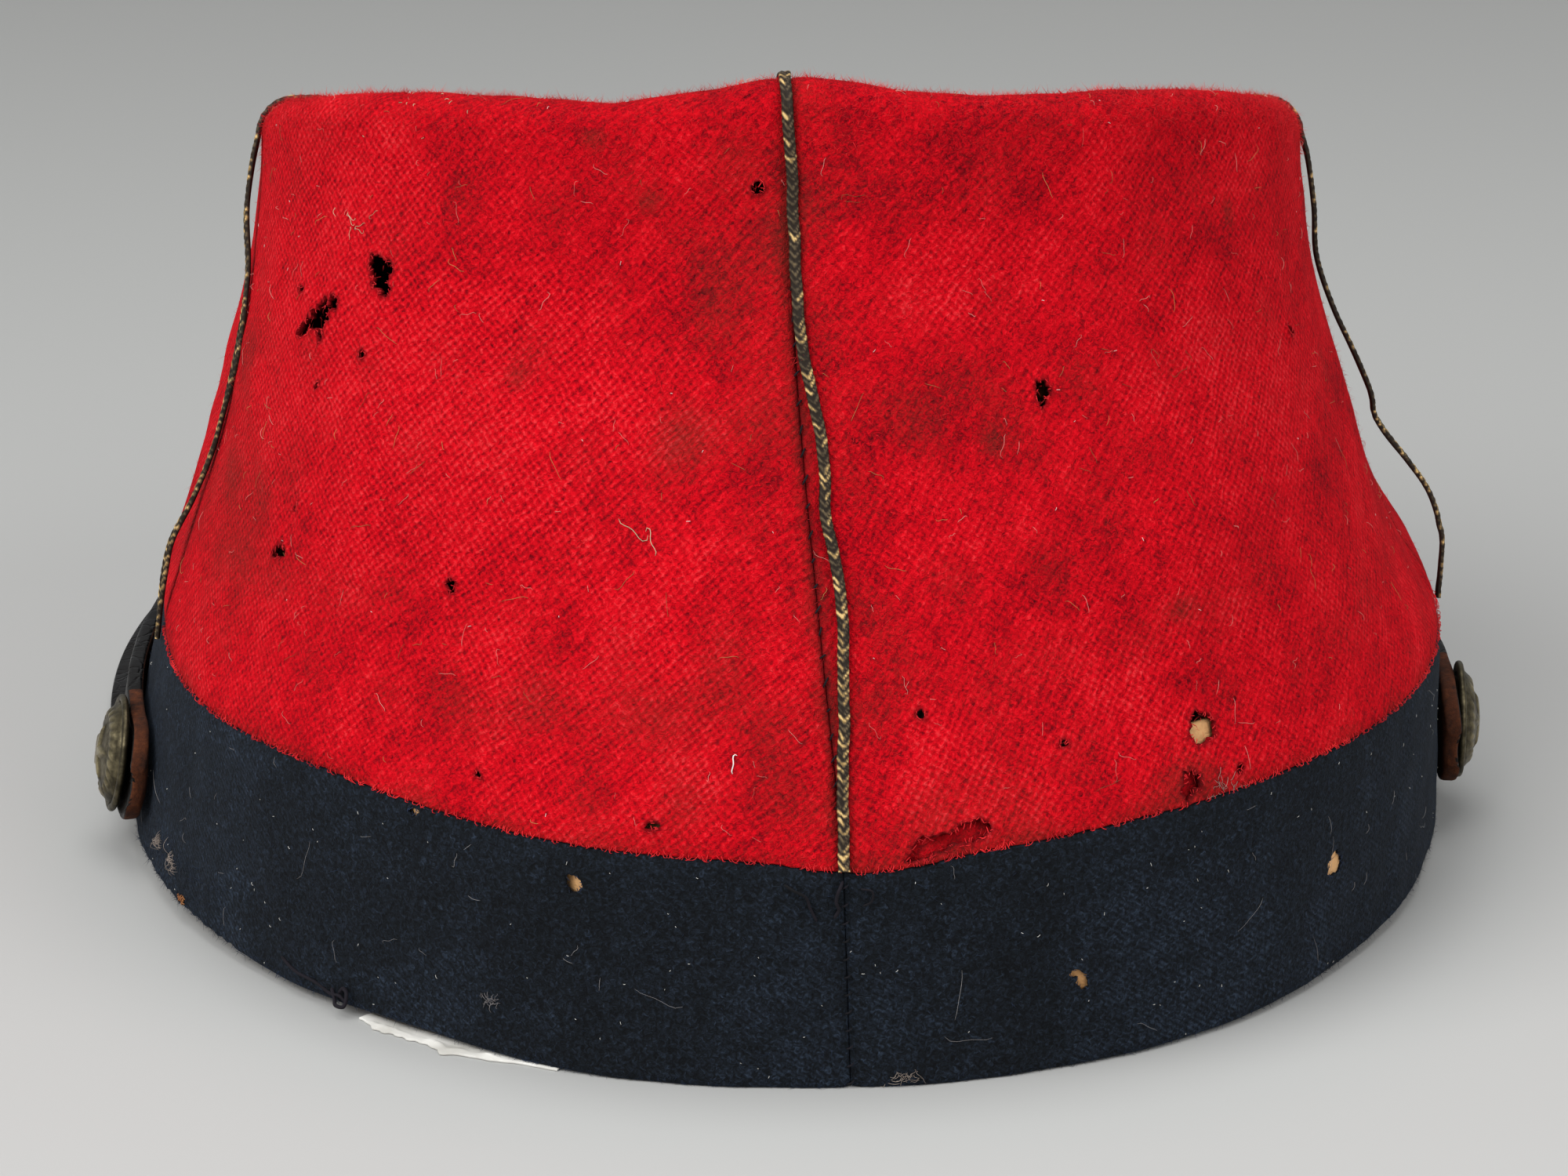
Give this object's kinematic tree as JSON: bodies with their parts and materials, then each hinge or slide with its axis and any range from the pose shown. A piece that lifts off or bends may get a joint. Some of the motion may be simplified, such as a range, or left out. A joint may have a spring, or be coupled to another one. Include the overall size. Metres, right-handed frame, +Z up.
{
  "type": "kepi",
  "caption": "Soldier's kepi with a scarlet wool crown that slopes forward, a navy band, gilt braid, a leather peak, a chin strap and brass side buttons.",
  "frame": {"origin": "bottom centre of the cap as it stands on a table, on the table's surface", "axes": "+Z up; -Y forward, towards the peak; +X towards the wearer's left"},
  "size_m": [0.1758, 0.2338, 0.112],
  "materials": {
    "scarlet_wool": "napped wool, worn to the weave",
    "navy_wool": "napped wool twill",
    "tan_leather": "dry vegetable-tanned leather",
    "black_leather": "worn polished leather",
    "aged_brass": "dark tarnish over stamped brass",
    "tarnished_braid": "tarnished gilt soutache",
    "white_cotton": "torn cotton lining strip and lint, added with the looks"
  },
  "bodies": {
    "root": {"crown_back_left": "scarlet_wool", "crown_back_right": "scarlet_wool", "crown_front_right": "scarlet_wool", "crown_front_left": "scarlet_wool", "crown_tip": "scarlet_wool", "band": "navy_wool", "sweatband": "tan_leather", "peak": "black_leather", "chin_strap": "black_leather", "strap_slide": "aged_brass", "button_left": "aged_brass", "button_back_left": "aged_brass", "button_right": "aged_brass", "button_back_right": "aged_brass", "braid_lengthwise": "tarnished_braid", "braid_crosswise": "tarnished_braid"}
  },
  "joints": []
}
